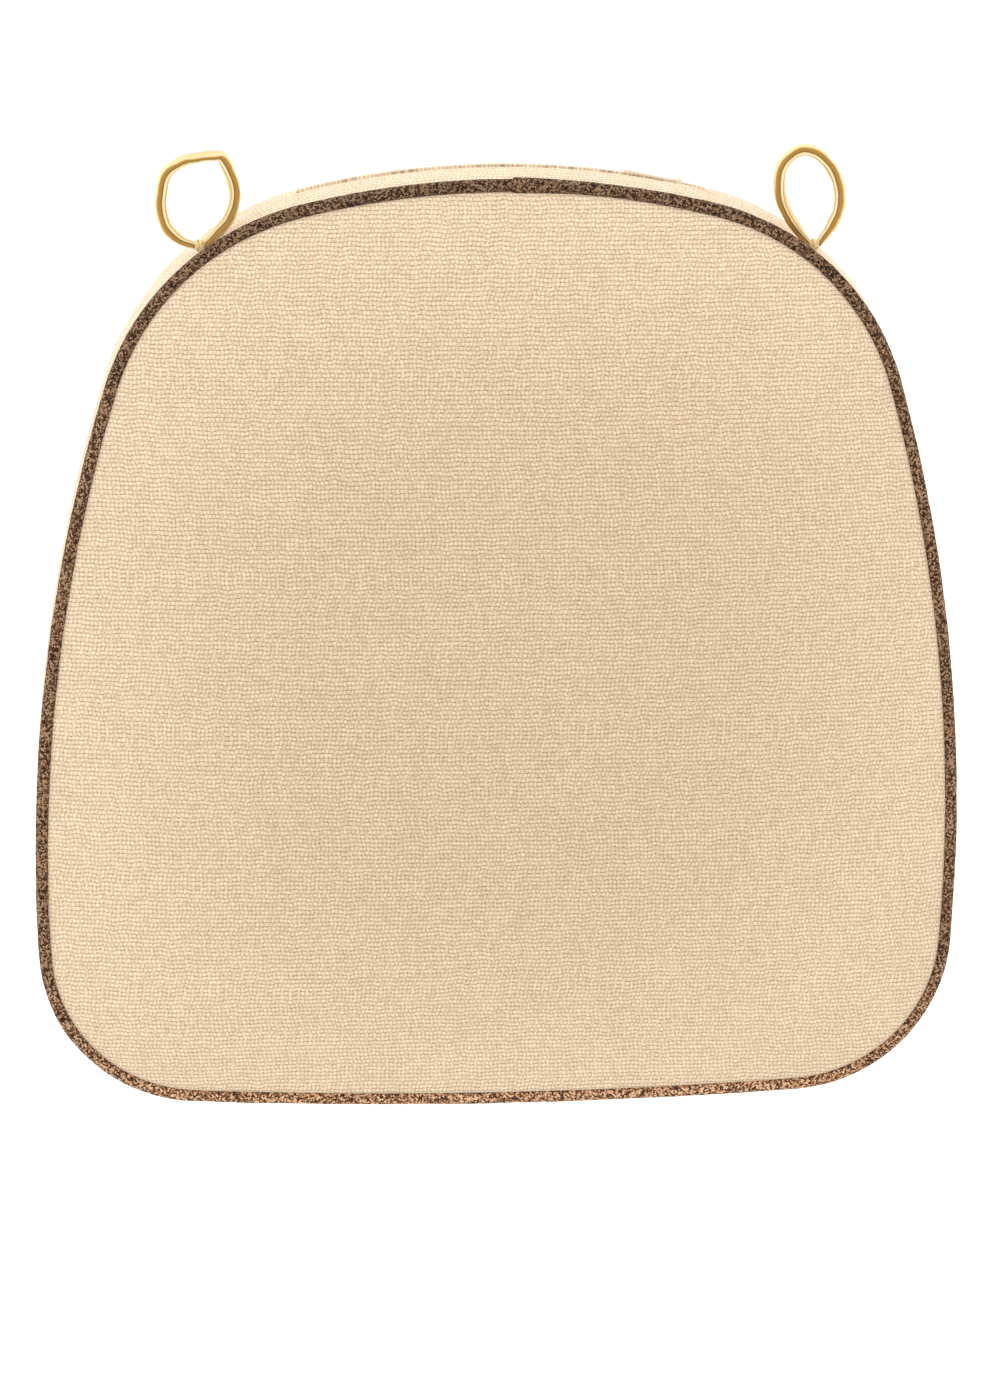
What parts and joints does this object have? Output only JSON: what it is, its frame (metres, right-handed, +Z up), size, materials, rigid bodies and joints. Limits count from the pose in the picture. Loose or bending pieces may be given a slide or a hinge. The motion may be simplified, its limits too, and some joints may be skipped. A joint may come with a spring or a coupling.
{
  "type": "seat cushion",
  "caption": "Boxed seat cushion with a crowned woven top, contrasting piping, a rear zip and satin hanging loops.",
  "frame": {"origin": "on the underside, at the middle of the seam outline's width and depth", "axes": "+Z up out of the seat face, +Y towards the narrower back edge with the zip and the loops, +X to the left of someone who sits on it"},
  "size_m": [0.399, 0.4206, 0.062],
  "materials": {
    "cover_cloth": "matte",
    "piping_tweed": "matte",
    "filler_cord": "matte",
    "foam": "matte",
    "wadding": "matte",
    "zip_tape": "matte",
    "zip_coil": "satin",
    "slider_metal": "satin",
    "gold_satin": "satin"
  },
  "bodies": {
    "cushion": {"top_panel": "cover_cloth", "bottom_panel": "cover_cloth", "boxing_front": "cover_cloth", "boxing_tab_left": "cover_cloth", "boxing_tab_right": "cover_cloth", "boxing_rear_upper": "cover_cloth", "boxing_rear_lower": "cover_cloth", "piping_sleeve": "piping_tweed", "piping_cord": "filler_cord", "foam_core": "foam", "wadding_over": "wadding", "wadding_under": "wadding", "zip_tape_upper": "zip_tape", "zip_tape_lower": "zip_tape", "zip_coil_upper": "zip_coil", "zip_coil_lower": "zip_coil", "zip_stop_left": "zip_coil", "zip_stop_right": "zip_coil", "loop_tails_left": "gold_satin", "loop_tails_right": "gold_satin"},
    "left_loop": {"loop_left": "gold_satin"},
    "right_loop": {"loop_right": "gold_satin"},
    "slider": {"zip_slider": "slider_metal"},
    "pull": {"zip_pull": "slider_metal"}
  },
  "joints": [
    {"name": "left_loop_swing", "type": "hinge", "parent": "cushion", "child": "left_loop", "pos_m": [-0.12851, 0.17494, 0.04], "axis": [0, 0, 1], "range_deg": [-4, 62]},
    {"name": "right_loop_swing", "type": "hinge", "parent": "cushion", "child": "right_loop", "pos_m": [0.13041, 0.17351, 0.04], "axis": [0, 0, 1], "range_deg": [-75, 8]},
    {"name": "zip_travel", "type": "hinge", "parent": "cushion", "child": "slider", "pos_m": [0, -0.16, 0.022], "axis": [0, 0, 1], "range_deg": [0, 23.6]},
    {"name": "pull_flip", "type": "hinge", "parent": "slider", "child": "pull", "pos_m": [0.07481, 0.19778, 0.022], "axis": [0, 0, 1], "range_deg": [-168, 0]}
  ]
}
